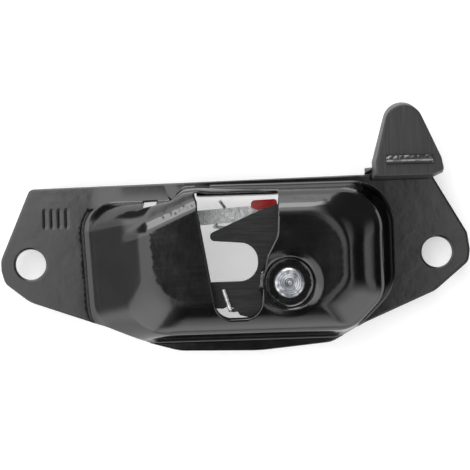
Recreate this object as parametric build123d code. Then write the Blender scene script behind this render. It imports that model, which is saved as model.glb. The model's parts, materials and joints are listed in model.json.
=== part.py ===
from build123d import *
import os

# Tailgate latch, closed, lying on its back with the drawn dome facing up.
# Millimetres. X runs along the line of the two mounting holes, Y toward the release paddle,
# Z out of the dome. The origin is midway between the mounting holes on the back of the flange.

# Housing: one deep-drawn steel stamping
sheet = 2.0
hole_pitch = 155.6
hole_radius = 5.8
dome_height = 20.0
wall_inset = 1.1

end_margin_left = 11.4
end_margin_right = 12.7
flange_top = 30.4
flange_bottom = -35.6

dome_right = 61.5
dome_bottom = -31.5
dome_top = 28.0
dome_step = 5.3
step_right_x = -14.5
step_left_x = -23.5
corner_cut = 18.4

mouth_top_left_x = -13.3
mouth_top_right_x = 17.5
mouth_bottom_x = 1.85
mouth_bottom_y = -14.8

bar_lower_y = 25.2
lip_depth = 4.0
lip_radius = 0.6
relief_left_x = -34.5
relief_height = 2.2

pad_radius = 9.4
pad_depth = 2.5
pad_flare = 3.0

ear_left_x = 51.0
ear_width = 7.0
ear_reach = 2.6
ear_height = 6.0

# Claw: the forked jaw that holds the striker
claw_x = 20.6
claw_y = -9.6
claw_thickness = 5.0
claw_gap = 1.0
claw_bore_clearance = 0.06
claw_slot_x = 1.96
claw_slot_y = -1.5
claw_slot_radius = 7.1
claw_tip_reach = 34.8

rivet_shank_radius = 4.0
rivet_head_radius = 5.85
rivet_head_height = 2.2
rivet_tail_radius = 5.5
rivet_tail_height = 1.8
fit_clearance = 0.05
bushing_radius = 6.0
washer_radius = 8.8

claw_wire = 1.5
coil_space = 0.35
claw_coil_radius = 7.5
coil_end_gap = 0.5

# Pawl: the sprung detent that blocks the claw
pawl_setback = 17.8
pawl_to_wall = 24.5
pawl_y = 10.0
pawl_thickness = 4.5
pawl_lift = 0.2
pawl_tooth_overlap = 0.8
pawl_tooth_gap = 4.4
pawl_stud_radius = 3.0
pawl_head_radius = 4.6
pawl_head_height = 0.9
pawl_wire = 1.2

# Back plate: flat zinc-plated plate with turned-back stiffening edges
back_sheet = 2.0
back_flange_depth = 7.5
back_overlap_left = 4.0
back_overlap_right = 3.0
back_bottom = -31.2

# Release lever and paddle
lever_x = 26.0
lever_y = 12.0
lever_thickness = 3.0
lever_gap = 0.4
lever_boss_radius = 8.0
lever_stud_radius = 4.0
lever_neck_radius = 3.0
lever_head_radius = 6.5
lever_head_height = 1.3
lever_axial_play = 0.1
lever_wire = 1.2
tab_width = 3.0
tab_reach = 15.0
tab_y = 13.2
tab_clearance = 0.3

blade_x = 67.2
blade_y = 35.3
blade_thickness = 3.0
tenon_width = 17.6
blade_shoulder = 0.6
tenon_proud = 1.2

paddle_front = 16.2
paddle_depth = 8.2
paddle_wall = 2.0
paddle_draft = 1.2
paddle_edge_radius = 0.8
slot_clearance = 0.1

clip_x = 12.0
clip_y = 20.0

bumper_x = 41.5
bumper_y = 3.0
bumper_radius = 3.2
bumper_post_radius = 1.6
bumper_end = 0.4

# Places along X that several pieces share
flange_left = hole_pitch / 2 + end_margin_left
flange_right = hole_pitch / 2 + end_margin_right
claw_tip_x = claw_x - claw_tip_reach
pawl_x = claw_tip_x - pawl_setback
tab_left_x = pawl_x + tab_reach
dome_left = pawl_x - pawl_to_wall
back_left = dome_left - back_overlap_left
back_right = dome_right + back_overlap_right

# Levels that several pieces share
pad_outer_z = dome_height - pad_depth
pad_inner_z = pad_outer_z - sheet
claw_top_z = pad_inner_z - claw_gap
claw_bottom_z = claw_top_z - claw_thickness
pawl_bottom_z = claw_bottom_z + pawl_lift
pawl_top_z = pawl_bottom_z + pawl_thickness
back_face_z = -back_sheet
lever_top_z = back_face_z - lever_gap
lever_bottom_z = lever_top_z - lever_thickness


def outline(corners):
    """Closed face from (x, y, corner radius) triples."""
    points = [(x, y) for x, y, radius in corners]
    radii = [radius for x, y, radius in corners]
    return make_face(FilletPolyline(*points, radius=radii, close=True))


def slab(corners, bottom, height):
    """Flat plate of the given outline, standing on the level bottom."""
    return Pos(0, 0, bottom) * extrude(outline(corners), amount=height)


def disc(x, y, bottom, radius, height):
    """Round bar standing on the level bottom."""
    return Pos(x, y, bottom) * extrude(Circle(radius), amount=height)


def ring(x, y, bottom, inner, outer, height):
    """Flat ring or sleeve standing on the level bottom."""
    return Pos(x, y, bottom) * extrude(Circle(outer) - Circle(inner), amount=height)


def block(x0, x1, y0, y1, z0, z1):
    """Box between two corners."""
    return Pos((x0 + x1) / 2, (y0 + y1) / 2, (z0 + z1) / 2) * Box(x1 - x0, y1 - y0, z1 - z0)


# The drawn wall from flange to face: height, then how far each side has moved in.
# The left side is a long straight slope, the right and bottom sides stand steep.
WALL = [
    # height, share, left, right, bottom, top
    (0.0, 0.00, 0.0, 0.0, 0.0, 0.0),
    (0.6, 0.06, 1.3, 0.7, 0.6, 0.6),
    (3.0, 0.20, 4.2, 1.9, 1.5, 1.2),
    (8.0, 0.42, 9.2, 3.9, 2.8, 2.2),
    (12.0, 0.60, 13.3, 6.2, 4.5, 3.2),
    (14.6, 0.72, 16.3, 9.5, 6.3, 4.4),
    (16.6, 0.85, 19.5, 13.1, 8.7, 6.0),
    (17.7, 0.95, 22.7, 16.9, 11.2, 8.0),
    (18.0, 1.00, 26.0, 20.0, 13.5, 9.6),
]


def dome_section(share, left, right, bottom, top, inset):
    """One level of the drawn dome: seven rounded corners."""
    x0 = dome_left + left + inset
    x1 = dome_right - right - inset
    y0 = dome_bottom + bottom + inset
    y1 = dome_top - top - inset
    step = dome_step * (1 - 0.6 * share)
    cut = corner_cut * (1 - 0.55 * share)
    shrink = 1 - 0.45 * share
    return [
        (x1, y1, 16.0 * shrink - inset),
        (step_right_x, y1, 7.0 * shrink),
        (step_left_x, y1 - step, 7.0 * shrink),
        (x0, y1 - step, 11.0 * shrink - inset),
        (x0 + 2.5, y0, 16.0 * shrink - inset),
        (x1 - cut, y0, 11.0 * shrink - inset),
        (x1, y0 + cut, 8.0 * shrink - inset),
    ]


def dome_solid(base, inset):
    """Solid dome whose wall passes smoothly through every level."""
    scale = (dome_height - sheet) / WALL[-1][0]
    sections = []
    for height, share, left, right, bottom, top in WALL:
        corners = dome_section(share, left, right, bottom, top, inset)
        sections.append(Pos(0, 0, base + height * scale) * outline(corners))
    return loft(sections)


def pad_cone(face_z, growth):
    """Flared recess around the claw rivet, sunk below the level face_z."""
    small = Pos(claw_x, claw_y, face_z - pad_depth) * Circle(pad_radius + growth)
    over = 1.0
    wide = pad_radius + growth + pad_flare * (pad_depth + over) / pad_depth
    large = Pos(claw_x, claw_y, face_z + over) * Circle(wide)
    return loft([small, large])


def mouth_outline():
    """Opening that the striker enters: wide at the top, round at the bottom."""
    return [
        (mouth_top_left_x - 0.9, bar_lower_y, 0),
        (mouth_bottom_x - 8.4, mouth_bottom_y - 8.3, 6.4),
        (mouth_bottom_x + 7.6, mouth_bottom_y - 8.1, 6.8),
        (11.0, -7.6, 6),
        (12.6, 1.2, 6),
        (16.5, 8.5, 6),
        (mouth_top_right_x, bar_lower_y, 0),
    ]


def flange_outline():
    """Trim line of the flat flange."""
    hole_x = hole_pitch / 2
    return [
        (0.4 - hole_x, flange_top - 1.6, 2.5),
        (hole_x - 1.7, flange_top + 0.4, 2.5),
        (flange_right - 0.9, 7.2, 4),
        (flange_right, 0.6, 5),
        (flange_right - 0.7, -4.0, 4),
        (hole_x - 1.0, -14.7, 8),
        (dome_right - 11.9, -26.1, 10),
        (dome_right - 25.1, flange_bottom + 2.4, 9),
        (8.9, flange_bottom, 60),
        (dome_left + 34.7, flange_bottom + 0.8, 20),
        (dome_left + 23.3, flange_bottom + 4.1, 16),
        (dome_left + 8.1, -25.3, 30),
        (-hole_x - 0.8, -14.4, 12),
        (1.3 - flange_left, -7.0, 5),
        (-flange_left, -2.0, 5),
        (-flange_left, 2.0, 5),
    ]


def bar_and_lip():
    """Strip of flange that bridges the mouth, its lower edge rolled back."""
    x0 = mouth_top_left_x - 1.4
    x1 = mouth_top_right_x
    strip = block(x0, x1, bar_lower_y, dome_top + 1.0, 0, sheet)
    outer = lip_radius + sheet
    profile = Pos(bar_lower_y, -lip_radius) * (Circle(outer) - Circle(lip_radius))
    quarter = profile & Pos(bar_lower_y - outer / 2, -lip_radius + outer / 2) * Rectangle(outer, outer)
    drop = lip_depth - lip_radius
    leg = Pos(bar_lower_y - lip_radius - sheet / 2, -lip_radius - drop / 2) * Rectangle(sheet, drop)
    section = quarter + leg
    lip = Pos(x0, 0, 0) * extrude(Plane.YZ * section, amount=x1 - x0)
    return strip + lip


def stop_ear():
    """Small ear on the top edge, curled forward beside the lever."""
    outer = ear_reach
    inner = 0.6
    profile = Pos(flange_top, sheet + inner) * (Circle(outer) - Circle(inner))
    quarter = profile & Pos(flange_top + outer / 2, sheet + inner - outer / 2) * Rectangle(outer, outer)
    leg_height = ear_height - sheet - inner
    leg_y = flange_top + (inner + outer) / 2
    leg = Pos(leg_y, sheet + inner + leg_height / 2) * Rectangle(outer - inner, leg_height)
    curl = Pos(ear_left_x, 0, 0) * extrude(Plane.YZ * (quarter + leg), amount=ear_width)
    root = block(ear_left_x, ear_left_x + ear_width, flange_top - 2, flange_top + 0.2, 0, sheet)
    return curl + root


def housing():
    flange = slab(flange_outline(), 0, sheet)
    trim = slab(flange_outline(), 0, dome_height)
    outer = (dome_solid(sheet, 0) & trim) - pad_cone(dome_height, 0)
    inner = dome_solid(0, wall_inset) - pad_cone(dome_height - sheet, 0.6)
    body = flange + outer
    body -= inner
    body -= Pos(0, 0, -1) * extrude(outline(mouth_outline()), amount=dome_height + 2)
    top_cut = block(mouth_top_left_x - 0.6, mouth_top_right_x, 18, dome_top + 1.2, sheet, dome_height + 1)
    body -= top_cut
    relief = block(relief_left_x, mouth_top_left_x, dome_top - dome_step - 1.9, dome_top + 1.0,
                   sheet, sheet + relief_height)
    body -= relief
    body += bar_and_lip()
    body += stop_ear()
    for side in (-1, 1):
        body -= disc(side * hole_pitch / 2, 0, -1, hole_radius, sheet + 2)
    body -= disc(claw_x, claw_y, pad_inner_z - 1, rivet_shank_radius + fit_clearance, sheet + 2)
    return body


def claw_outline():
    """Fork with a long upper jaw, a shorter lower jaw and a round hub."""
    slot_top = claw_slot_y + claw_slot_radius
    slot_bottom = claw_slot_y - claw_slot_radius
    return [
        (claw_tip_x, 7.4, 1.8),
        (13.2, 19.3, 20),
        (23.0, 20.9, 7),
        (27.6, 2.6, 12),
        (34.4, -9.6, 10),
        (30.5, -21.2, 9),
        (12.0, -20.6, 10),
        (5.2, -22.3, 3),
        (1.6, -21.4, 1),
        (0.2, -18.9, 0.5),
        (-2.9, -17.9, 0.8),
        (-4.6, -18.8, 1.5),
        (claw_tip_x + 0.4, -18.0, 3),
        (claw_tip_x, slot_bottom - 0.1, 1),
        (claw_slot_x + claw_slot_radius, slot_bottom, claw_slot_radius - 0.1),
        (claw_slot_x + claw_slot_radius, slot_top - 0.2, claw_slot_radius - 0.3),
    ]


def claw():
    body = slab(claw_outline(), claw_bottom_z, claw_thickness)
    bore = bushing_radius + claw_bore_clearance
    body -= disc(claw_x, claw_y, claw_bottom_z - 1, bore, claw_thickness + 2)
    return body


def claw_pivot_rivet():
    """Shank through pad and back plate, spun head in front, flat tail behind."""
    shank = disc(claw_x, claw_y, back_face_z, rivet_shank_radius, pad_outer_z - back_face_z)
    top = pad_outer_z + rivet_head_height
    edge = 0.7
    with BuildSketch(Plane.XZ) as profile:
        with BuildLine():
            Polyline((0, pad_outer_z), (rivet_head_radius, pad_outer_z), (rivet_head_radius, top - 1.2))
            ThreePointArc((rivet_head_radius, top - 1.2), (rivet_head_radius - 0.3, top - 0.5),
                          (rivet_head_radius - 1.1, top - 0.15))
            Polyline((rivet_head_radius - 1.1, top - 0.15), (edge + 1.2, top), (edge, top - 0.25),
                     (0, top - 0.25), (0, pad_outer_z))
        make_face()
    head = Pos(claw_x, claw_y, 0) * revolve(profile.sketch, Axis.Z)
    tail = disc(claw_x, claw_y, back_face_z - rivet_tail_height, rivet_tail_radius, rivet_tail_height)
    tail = chamfer(tail.edges().group_by(Axis.Z)[0], 0.6)
    return shank + head + tail


def claw_bushing():
    return ring(claw_x, claw_y, 0, rivet_shank_radius + fit_clearance, bushing_radius, pad_inner_z)


def claw_washer():
    return ring(claw_x, claw_y, claw_top_z + 0.1, bushing_radius + 0.1, washer_radius, claw_gap - 0.1)


def wire_along(points, bend, wire):
    """Round wire along a path of straight runs joined by bends."""
    path = FilletPolyline(*points, radius=bend)
    start = Plane(origin=path @ 0, z_dir=path % 0)
    return sweep(start * Circle(wire / 2), path=path)


def coil(x, y, bottom, radius, wire, turns, start_angle, lefthand=False):
    """Close-wound coil of round wire, standing on the level bottom."""
    pitch = wire + coil_space
    path = Helix(pitch=pitch, height=pitch * turns, radius=radius)
    section = Plane(origin=path @ 0, z_dir=path % 0) * Circle(wire / 2)
    body = sweep(section, path=path, is_frenet=True)
    if lefthand:
        body = mirror(body, about=Plane.XZ)
    return Pos(x, y, bottom + wire / 2) * Rot(0, 0, start_angle) * body


def turns_in(room, wire):
    """Whole turns and a half that fit in the room between two pieces."""
    return int((room - wire) / (wire + coil_space) - 0.5) + 0.5


def claw_spring():
    """Torsion spring around the bushing; its long leg hooks over the lower jaw."""
    bottom = 1.0
    turns = turns_in(claw_bottom_z - bottom - coil_end_gap, claw_wire)
    rise = (claw_wire + coil_space) * turns
    body = coil(claw_x, claw_y, bottom, claw_coil_radius, claw_wire, turns, -90 + 360 * turns, True)
    leg_z = bottom + claw_wire / 2 + rise
    over_z = claw_top_z + claw_wire / 2 + 0.1
    hook_y = -19.4
    leg = wire_along([
        (claw_x + 0.6, claw_y - claw_coil_radius + 0.15, leg_z),
        (claw_x - 4.0, claw_y - claw_coil_radius, leg_z),
        (-1.0, hook_y - 0.3, leg_z + 0.2),
        (-1.9, hook_y, leg_z + 1.0),
        (-1.9, hook_y, over_z),
        (-4.3, -11.5, over_z),
    ], 0.75, claw_wire)
    return body + leg


def pawl_outline():
    """Bent lever: boss on the stud, tooth over the claw's lower jaw, arm under the tab."""
    tooth_x = claw_tip_x + pawl_tooth_overlap
    tooth_y = claw_slot_y - claw_slot_radius + pawl_tooth_gap
    arm_top = tab_y - tab_clearance
    return [
        (pawl_x - 6.0, pawl_y + 6.5, 6),
        (pawl_x + 7.0, pawl_y + 5.0, 5),
        (tab_left_x - 1.0, arm_top - 1.0, 2),
        (tab_left_x + 0.6, arm_top, 0.6),
        (tab_left_x + tab_width, arm_top, 1),
        (tab_left_x + tab_width, arm_top - 5.0, 2),
        (tooth_x - 7.0, tooth_y + 7.0, 4),
        (tooth_x, tooth_y + 4.0, 1),
        (tooth_x, tooth_y, 0.5),
        (tooth_x - 4.5, tooth_y, 1),
        (tooth_x - 11.0, tooth_y + 3.5, 6),
        (pawl_x - 4.5, pawl_y - 7.5, 6),
    ]


def pawl():
    body = slab(pawl_outline(), pawl_bottom_z, pawl_thickness)
    bore = pawl_stud_radius + claw_bore_clearance
    return body - disc(pawl_x, pawl_y, pawl_bottom_z - 1, bore, pawl_thickness + 2)


def pawl_stud():
    """Headed stud staked flush in the back plate."""
    shank = disc(pawl_x, pawl_y, back_face_z, pawl_stud_radius, pawl_top_z + 0.1 - back_face_z)
    head = disc(pawl_x, pawl_y, pawl_top_z + 0.1, pawl_head_radius, pawl_head_height)
    head = chamfer(head.edges().group_by(Axis.Z)[-1], 0.4)
    return shank + head


def pawl_spacer():
    return ring(pawl_x, pawl_y, 0, pawl_stud_radius + fit_clearance, pawl_head_radius, pawl_bottom_z - 0.1)


def pawl_spring():
    """Torsion spring on the spacer that holds the pawl toward the claw."""
    radius = pawl_head_radius + 0.4 + pawl_wire / 2
    bottom = 0.6
    turns = turns_in(pawl_bottom_z - bottom - coil_end_gap, pawl_wire)
    body = coil(pawl_x, pawl_y, bottom, radius, pawl_wire, turns, 180 - 360 * turns)
    leg_z = bottom + pawl_wire / 2 + (pawl_wire + coil_space) * turns
    leg = wire_along([
        (pawl_x - radius + 0.15, pawl_y + 0.6, leg_z),
        (pawl_x - radius, pawl_y - 5.0, leg_z),
        (pawl_x - radius + 2.6, pawl_y - 13.0, leg_z),
    ], 1.5, pawl_wire)
    return body + leg


def back_outline():
    """Plate behind the dome, with an open notch behind the mouth."""
    return [
        (back_left, 20.5, 5),
        (tab_left_x - 5.0, 20.5, 2),
        (tab_left_x - 3.5, 4.0, 3),
        (tab_left_x + 2.5, 0.0, 4),
        (-13.0, -17.0, 8),
        (-5.0, -25.0, 8),
        (8.5, -25.0, 8),
        (11.5, -4.0, 6),
        (17.5, 3.0, 5),
        (19.4, 27.5, 2),
        (back_right - 12.5, 27.5, 8),
        (back_right, 18.0, 8),
        (back_right, -11.5, 8),
        (back_right - 19.0, -26.0, 8),
        (back_right - 28.5, back_bottom - 0.8, 6),
        (back_left + 30.5, back_bottom + 0.2, 8),
        (back_left, -20.0, 10),
    ]


def back_plate():
    body = slab(back_outline(), back_face_z, back_sheet)
    left = block(back_left, back_left + back_sheet, -11.0, 13.0, -back_flange_depth, 0)
    right = block(back_right - back_sheet, back_right, -6.0, 9.0, -back_flange_depth, 0)
    lower = block(-22.0, 28.0, back_bottom, back_bottom + back_sheet, -back_flange_depth, 0)
    body += left + right + lower
    body -= disc(claw_x, claw_y, back_face_z - 1, rivet_shank_radius + fit_clearance, back_sheet + 2)
    body -= disc(pawl_x, pawl_y, back_face_z - 1, pawl_stud_radius + fit_clearance, back_sheet + 2)
    body -= disc(lever_x, lever_y, back_face_z - 1, lever_neck_radius + fit_clearance, back_sheet + 2)
    body -= disc(bumper_x, bumper_y, back_face_z - 1, bumper_post_radius + fit_clearance, back_sheet + 2)
    return body


def lever_outline():
    """Long arm behind the mouth on the left, wide arm up to the paddle on the right."""
    blade_left = blade_x - tenon_width / 2 - blade_shoulder
    blade_right = blade_x + tenon_width / 2 + blade_shoulder
    blade_back = blade_y + blade_thickness / 2
    return [
        (tab_left_x - 2.5, 18.4, 2.5),
        (9.0, 19.9, 6),
        (24.0, 21.0, 8),
        (46.0, 24.5, 8),
        (blade_left, blade_y - 4.5, 4),
        (blade_left, blade_back, 0),
        (blade_right, blade_back, 0),
        (blade_right, blade_y - 8.0, 6),
        (58.0, 14.5, 10),
        (31.0, 3.0, 7),
        (18.0, 5.0, 7),
        (12.0, 14.5, 10),
        (tab_left_x - 2.5, 12.6, 2.5),
    ]


def release_lever():
    body = slab(lever_outline(), lever_bottom_z, lever_thickness)
    body -= disc(lever_x, lever_y, lever_bottom_z - 1, lever_stud_radius + claw_bore_clearance,
                 lever_thickness + 2)
    half = tenon_width / 2
    shoulder_z = paddle_front - paddle_wall - slot_clearance
    front = blade_y - blade_thickness / 2
    back = blade_y + blade_thickness / 2
    blade = block(blade_x - half - blade_shoulder, blade_x + half + blade_shoulder, front, back,
                  lever_bottom_z, shoulder_z)
    tenon = block(blade_x - half, blade_x + half, front, back, shoulder_z, paddle_front + tenon_proud)
    tab = block(tab_left_x, tab_left_x + tab_width, tab_y, tab_y + lever_thickness,
                lever_bottom_z, pawl_top_z - 0.5)
    hole = disc(clip_x, clip_y - 4.3, lever_bottom_z - 1, 2.2, lever_thickness + 2)
    return body + blade + tenon + tab - hole


def lever_stud():
    """Shouldered stud: head behind the lever, neck staked in the back plate."""
    head_top = lever_bottom_z - lever_axial_play
    head = disc(lever_x, lever_y, head_top - lever_head_height, lever_head_radius, lever_head_height)
    head = chamfer(head.edges().group_by(Axis.Z)[0], 0.5)
    shank = disc(lever_x, lever_y, head_top, lever_stud_radius, back_face_z - head_top)
    neck = disc(lever_x, lever_y, back_face_z, lever_neck_radius, back_sheet)
    stake = disc(lever_x, lever_y, 0, lever_stud_radius + 1.0, 1.4)
    stake = chamfer(stake.edges().group_by(Axis.Z)[-1], 0.5)
    return head + shank + neck + stake


def lever_washer():
    return ring(lever_x, lever_y, lever_top_z + 0.05, lever_stud_radius + 0.1, lever_boss_radius - 0.5,
                lever_gap - 0.05)


def paddle_outline(growth):
    """Rounded triangle with one clipped corner; growth flares the left and lower sides."""
    return [
        (54.6 - growth, 29.4 - growth, 0.8),
        (75.8, 29.4 - growth, 1.2),
        (80.2 + growth / 2, 31.0 - growth / 2, 1.2),
        (79.3 + growth / 2, 35.8, 3),
        (63.7, 71.1, 7.3),
        (54.7 - growth, 35.0, 3),
    ]


def release_paddle():
    """Pressed cap with a flared skirt, slotted for the blade."""
    back_z = paddle_front - paddle_depth
    front_face = Pos(0, 0, paddle_front) * outline(paddle_outline(0))
    back_face = Pos(0, 0, back_z) * outline(paddle_outline(paddle_draft))
    cap = loft([back_face, front_face])
    cap = fillet(cap.edges().group_by(Axis.Z)[-1], paddle_edge_radius)
    core = Pos(0, 0, back_z - 1) * extrude(
        offset(outline(paddle_outline(0)), amount=-paddle_wall + 0.4, kind=Kind.INTERSECTION),
        amount=paddle_depth - paddle_wall + 1)
    cap -= core
    half = tenon_width / 2 + slot_clearance
    slot = block(blade_x - half, blade_x + half, blade_y - blade_thickness / 2 - slot_clearance,
                 blade_y + blade_thickness / 2 + slot_clearance, back_z, paddle_front + 1)
    return cap - slot


def lever_spring():
    """Return spring around the lever stud's staked end; its leg hooks round the arm."""
    radius = lever_stud_radius + 1.0 + 0.4 + lever_wire / 2
    bottom = 0.2
    front_z = bottom + lever_wire / 2
    behind_z = lever_bottom_z - lever_wire / 2 - 0.15
    over_z = lever_top_z + lever_wire / 2 + 0.2
    below_y = 12.2
    body = coil(lever_x, lever_y, bottom, radius, lever_wire, 2.5, 180, True)
    leg = wire_along([
        (lever_x - radius + 0.15, lever_y + 0.6, front_z),
        (lever_x - radius, lever_y - 3.2, front_z),
        (lever_x - 9.6, lever_y - 3.2, front_z),
        (lever_x - 12.2, lever_y - 2.4, over_z),
        (-6.0, below_y, over_z),
        (-7.2, below_y, behind_z),
        (-2.5, 19.0, behind_z),
        (-4.8, 22.3, behind_z + 1.0),
    ], 0.7, lever_wire)
    return body + leg


def rod_clip():
    """Plastic rod clip snapped into the lever's long arm."""
    peg_y = clip_y - 4.3
    peg = disc(clip_x, peg_y, lever_bottom_z - 0.8, 2.1, lever_thickness + 0.8)
    collar = disc(clip_x, peg_y, lever_bottom_z - 1.6, 3.1, 0.9)
    body = slab([
        (clip_x - 4.8, clip_y - 1.5, 1.5),
        (clip_x - 4.8, clip_y + 2.0, 1.5),
        (clip_x + 5.2, clip_y + 2.3, 1.2),
        (clip_x + 5.2, clip_y - 1.5, 1.2),
        (clip_x + 3.4, peg_y - 3.2, 1.5),
        (clip_x - 3.4, peg_y - 3.2, 1.5),
    ], lever_top_z, 2.1)
    return peg + collar + body


def bumper_post():
    """Pin staked in the back plate that carries the claw's open stop."""
    return disc(bumper_x, bumper_y, back_face_z, bumper_post_radius, claw_top_z - back_face_z)


def claw_bumper():
    """Rubber sleeve that the claw meets when it has swung open."""
    return ring(bumper_x, bumper_y, 0, bumper_post_radius + fit_clearance, bumper_radius, claw_top_z - bumper_end)


NODES = {
    "housing": housing,
    "back_plate": back_plate,
    "claw": claw,
    "claw_pivot_rivet": claw_pivot_rivet,
    "claw_bushing": claw_bushing,
    "claw_washer": claw_washer,
    "claw_spring": claw_spring,
    "pawl": pawl,
    "pawl_stud": pawl_stud,
    "pawl_spacer": pawl_spacer,
    "pawl_spring": pawl_spring,
    "release_lever": release_lever,
    "lever_stud": lever_stud,
    "lever_washer": lever_washer,
    "lever_spring": lever_spring,
    "release_paddle": release_paddle,
    "rod_clip": rod_clip,
    "bumper_post": bumper_post,
    "claw_bumper": claw_bumper,
}

os.makedirs("parts", exist_ok=True)
for name, make in NODES.items():
    export_step(make(), f"parts/{name}.step")
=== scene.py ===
import bpy
import bmesh
import json
import math
import numpy as np
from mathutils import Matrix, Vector
from mathutils.geometry import delaunay_2d_cdt

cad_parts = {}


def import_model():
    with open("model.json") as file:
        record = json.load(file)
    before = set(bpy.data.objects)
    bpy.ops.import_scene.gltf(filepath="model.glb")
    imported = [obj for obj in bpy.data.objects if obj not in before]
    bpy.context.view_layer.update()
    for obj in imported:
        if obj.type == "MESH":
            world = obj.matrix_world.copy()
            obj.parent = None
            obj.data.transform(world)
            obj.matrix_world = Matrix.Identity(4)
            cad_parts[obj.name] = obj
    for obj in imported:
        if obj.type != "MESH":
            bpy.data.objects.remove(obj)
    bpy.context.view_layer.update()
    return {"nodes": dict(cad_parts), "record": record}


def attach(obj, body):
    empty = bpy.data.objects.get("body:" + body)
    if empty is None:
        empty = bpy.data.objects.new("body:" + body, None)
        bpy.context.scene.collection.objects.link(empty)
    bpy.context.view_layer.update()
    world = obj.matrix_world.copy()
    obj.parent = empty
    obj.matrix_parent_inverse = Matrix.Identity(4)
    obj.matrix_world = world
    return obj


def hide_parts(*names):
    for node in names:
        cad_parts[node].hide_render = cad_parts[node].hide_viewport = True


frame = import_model()

# Lengths are in millimetres in the part's frame: X toward the paddle, Z out of the dome.
MM = 0.001
SHEET = 2.0
DOME_HEIGHT = 20.0
DOME_LEFT, DOME_RIGHT, DOME_BOTTOM, DOME_TOP = -56.5, 61.5, -31.5, 28.0
HOLE_X, HOLE_RADIUS = 77.8, 5.8
CLAW_X, CLAW_Y = 20.6, -9.6
BAR_LOWER_Y = 25.4
FLOOR_Z, FLOOR_HALF = -7.5, 3000.0

# Camera: straight above the dome, turned a little.
CAMERA_AT = (0.7, 8.9, 800.0)
CAMERA_ROLL = -1.82
CAMERA_LENS, CAMERA_SENSOR = 159.6, 36.0
CAMERA_CLIP = (50.0, 20000.0)


def set_camera():
    data = bpy.data.cameras.new("camera")
    data.lens, data.sensor_width = CAMERA_LENS, CAMERA_SENSOR
    data.clip_start, data.clip_end = (c * MM for c in CAMERA_CLIP)
    camera = bpy.data.objects.new("camera", data)
    camera.location = tuple(c * MM for c in CAMERA_AT)
    camera.rotation_euler = (0, 0, math.radians(CAMERA_ROLL))
    bpy.context.scene.collection.objects.link(camera)
    bpy.context.scene.camera = camera
    bpy.context.scene.view_settings.view_transform = "Standard"


set_camera()


class Nodes:
    """Short names for building a node tree."""

    def __init__(self, tree):
        self.tree = tree

    def add(self, kind, **values):
        node = self.tree.nodes.new(kind)
        for key, value in values.items():
            if hasattr(node, key):
                setattr(node, key, value)
            else:
                node.inputs[key].default_value = value
        return node

    def link(self, a, b):
        self.tree.links.new(a, b)

    def coords(self, scale=(1000, 1000, 1000), turn=0.0):
        """Object coordinates, in millimetres unless scaled otherwise."""
        where = self.add("ShaderNodeTexCoord")
        mapping = self.add("ShaderNodeMapping", Scale=scale, Rotation=(0, 0, turn))
        self.link(where.outputs["Object"], mapping.inputs["Vector"])
        return mapping.outputs["Vector"]

    def split(self, vector):
        node = self.add("ShaderNodeSeparateXYZ")
        self.link(vector, node.inputs[0])
        return [node.outputs[axis] for axis in "XYZ"]

    def noise(self, vector, scale, detail, rough=0.5):
        node = self.add("ShaderNodeTexNoise", Scale=scale, Detail=detail, Roughness=rough)
        self.link(vector, node.inputs["Vector"])
        return node.outputs["Fac"]

    def spread(self, value, low, high, to_low=0.0, to_high=1.0):
        """Smooth ramp from one range to another."""
        node = self.add("ShaderNodeMapRange", interpolation_type="SMOOTHSTEP")
        ends = {"From Min": low, "From Max": high, "To Min": to_low, "To Max": to_high}
        for name, number in ends.items():
            node.inputs[name].default_value = number
        self.link(value, node.inputs["Value"])
        return node.outputs["Result"]

    def mix(self, factor, a, b):
        """Colour between a and b, each a colour or a socket."""
        node = self.add("ShaderNodeMix", data_type="RGBA")
        factor_socket, colours = node.inputs[0], node.inputs[6:8]
        for socket, value in zip(colours, (a, b)):
            if isinstance(value, tuple):
                socket.default_value = (*value, 1)
            else:
                self.link(value, socket)
        self.link(factor, factor_socket)
        return node.outputs[2]

    def math(self, op, a, b=0.0):
        node = self.add("ShaderNodeMath", operation=op)
        for i, value in enumerate((a, b)):
            if isinstance(value, (int, float)):
                node.inputs[i].default_value = value
            else:
                self.link(value, node.inputs[i])
        return node.outputs[0]

    def plus(self, a, b):
        return self.math("ADD", a, b)

    def minus(self, a, b):
        return self.math("SUBTRACT", a, b)

    def times(self, a, b):
        return self.math("MULTIPLY", a, b)

    def most(self, a, b):
        return self.math("MAXIMUM", a, b)

    def bump(self, height, distance, strength, after=None):
        """Bump of a height in millimetres, on top of another bump if given."""
        node = self.add("ShaderNodeBump", Strength=strength, Distance=distance * MM)
        self.link(height, node.inputs["Height"])
        if after is not None:
            self.link(after, node.inputs["Normal"])
        return node.outputs["Normal"]


def material(name):
    mat = bpy.data.materials.new(name)
    mat.use_nodes = True
    mat.node_tree.nodes.clear()
    n = Nodes(mat.node_tree)
    shader = n.add("ShaderNodeBsdfPrincipled")
    out = n.add("ShaderNodeOutputMaterial")
    n.link(shader.outputs["BSDF"], out.inputs["Surface"])
    return mat, n, shader.inputs


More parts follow.
